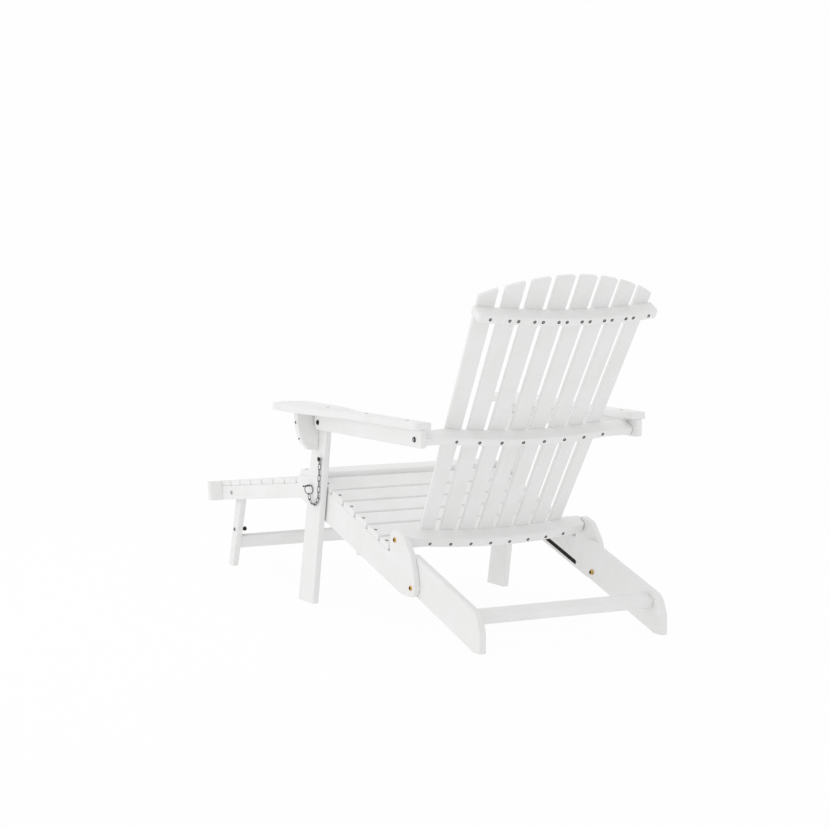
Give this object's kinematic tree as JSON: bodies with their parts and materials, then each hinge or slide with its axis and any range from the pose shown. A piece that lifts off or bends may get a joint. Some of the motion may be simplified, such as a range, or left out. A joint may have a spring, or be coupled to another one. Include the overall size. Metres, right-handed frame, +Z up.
{
  "type": "folding garden lounge chair with footrest",
  "caption": "Slatted folding garden lounge chair with a curved back, wide arms on front legs with pull pins, and a slatted footrest that slides out on its own folding legs.",
  "frame": {"origin": "on the floor, at the centre of the chair's box with the back up and the footrest out", "axes": "+Z up, the sitter faces -Y, +X towards the sitter's left arm"},
  "size_m": [0.784, 1.6404, 0.9172],
  "materials": {
    "white_paint": "satin white paint on wood",
    "dark_screw": "black oxide",
    "brass_bolt": "yellow zinc plated, dull",
    "steel": "bright zinc plated",
    "black_plastic": "matte"
  },
  "bodies": {
    "seat_frame": {"seat_board_left": "white_paint", "seat_board_right": "white_paint", "seat_slat_1": "white_paint", "seat_slat_2": "white_paint", "seat_slat_3": "white_paint", "seat_slat_4": "white_paint", "seat_slat_5": "white_paint", "seat_slat_6": "white_paint", "seat_slat_7": "white_paint", "rear_leg_left": "white_paint", "rear_leg_right": "white_paint", "rear_stretcher": "white_paint", "slide_channels": "black_plastic", "seat_screws": "dark_screw", "rear_leg_fixings": "brass_bolt"},
    "back": {"back_slat_1": "white_paint", "back_slat_2": "white_paint", "back_slat_3": "white_paint", "back_slat_4": "white_paint", "back_slat_5": "white_paint", "back_slat_6": "white_paint", "back_slat_7": "white_paint", "back_slat_8": "white_paint", "top_rail": "white_paint", "middle_rail": "white_paint", "bottom_rail": "white_paint", "back_screws": "dark_screw", "back_pivot_bolts": "brass_bolt"},
    "arms": {"arm_left": "white_paint", "arm_right": "white_paint", "arm_rail_left": "white_paint", "arm_rail_right": "white_paint", "arm_screws": "dark_screw"},
    "front_legs": {"front_leg_left": "white_paint", "front_leg_right": "white_paint", "corbel_left": "white_paint", "corbel_right": "white_paint", "leg_screws": "dark_screw", "arm_pivot_bolts": "brass_bolt", "chain_left": "steel", "chain_right": "steel"},
    "pin_left": {"lock_pin_left": "steel"},
    "pin_right": {"lock_pin_right": "steel"},
    "footrest_glide": {"footrest_axle": "steel"},
    "footrest": {"footrest_rail_left": "white_paint", "footrest_rail_right": "white_paint", "footrest_front": "white_paint", "footrest_slat_1": "white_paint", "footrest_slat_2": "white_paint", "footrest_slat_3": "white_paint", "footrest_slat_4": "white_paint", "footrest_slat_5": "white_paint", "footrest_slat_6": "white_paint", "footrest_slat_7": "white_paint", "footrest_slat_8": "white_paint", "footrest_screws": "dark_screw"},
    "footrest_legs": {"footrest_leg_left": "white_paint", "footrest_leg_right": "white_paint", "footrest_leg_bar": "white_paint", "footrest_leg_bolts": "brass_bolt"}
  },
  "joints": [
    {"name": "back_fold", "type": "hinge", "parent": "seat_frame", "child": "back", "pos_m": [0, 0.40223, 0.23118], "axis": [1, 0, 0], "range_deg": [0, 98]},
    {"name": "arm_fold", "type": "hinge", "parent": "back", "child": "arms", "pos_m": [0, 0.579, 0.50638], "axis": [1, 0, 0], "range_deg": [-98, 0]},
    {"name": "leg_fold", "type": "hinge", "parent": "arms", "child": "front_legs", "pos_m": [0, 0.02926, 0.506], "axis": [1, 0, 0], "range_deg": [0, 80]},
    {"name": "pin_pull_left", "type": "slide", "parent": "front_legs", "child": "pin_left", "axis": [1, 0, 0], "range_m": [0, 0.03], "deforming": ["chain_left"]},
    {"name": "pin_pull_right", "type": "slide", "parent": "front_legs", "child": "pin_right", "axis": [-1, 0, 0], "range_m": [0, 0.03], "deforming": ["chain_right"]},
    {"name": "footrest_slide", "type": "slide", "parent": "seat_frame", "child": "footrest_glide", "axis": [0, 0.9535, -0.3013], "range_m": [0, 0.54]},
    {"name": "footrest_tilt", "type": "hinge", "parent": "footrest_glide", "child": "footrest", "pos_m": [0, -0.15174, 0.2946], "axis": [1, 0, 0], "range_deg": [-24.35, 0]},
    {"name": "footrest_leg_fold", "type": "hinge", "parent": "footrest", "child": "footrest_legs", "pos_m": [0, -0.72639, 0.23212], "axis": [1, 0, 0], "range_deg": [0, 113.1]}
  ],
  "couplings": [
    {"joint": "arm_fold", "follows": "back_fold", "ratio": -1},
    {"joint": "leg_fold", "follows": "back_fold", "ratio": 0.8163},
    {"joint": "footrest_tilt", "follows": "footrest_slide", "rad_per_m": -0.78669},
    {"joint": "footrest_leg_fold", "follows": "footrest_slide", "rad_per_m": 3.6523}
  ]
}
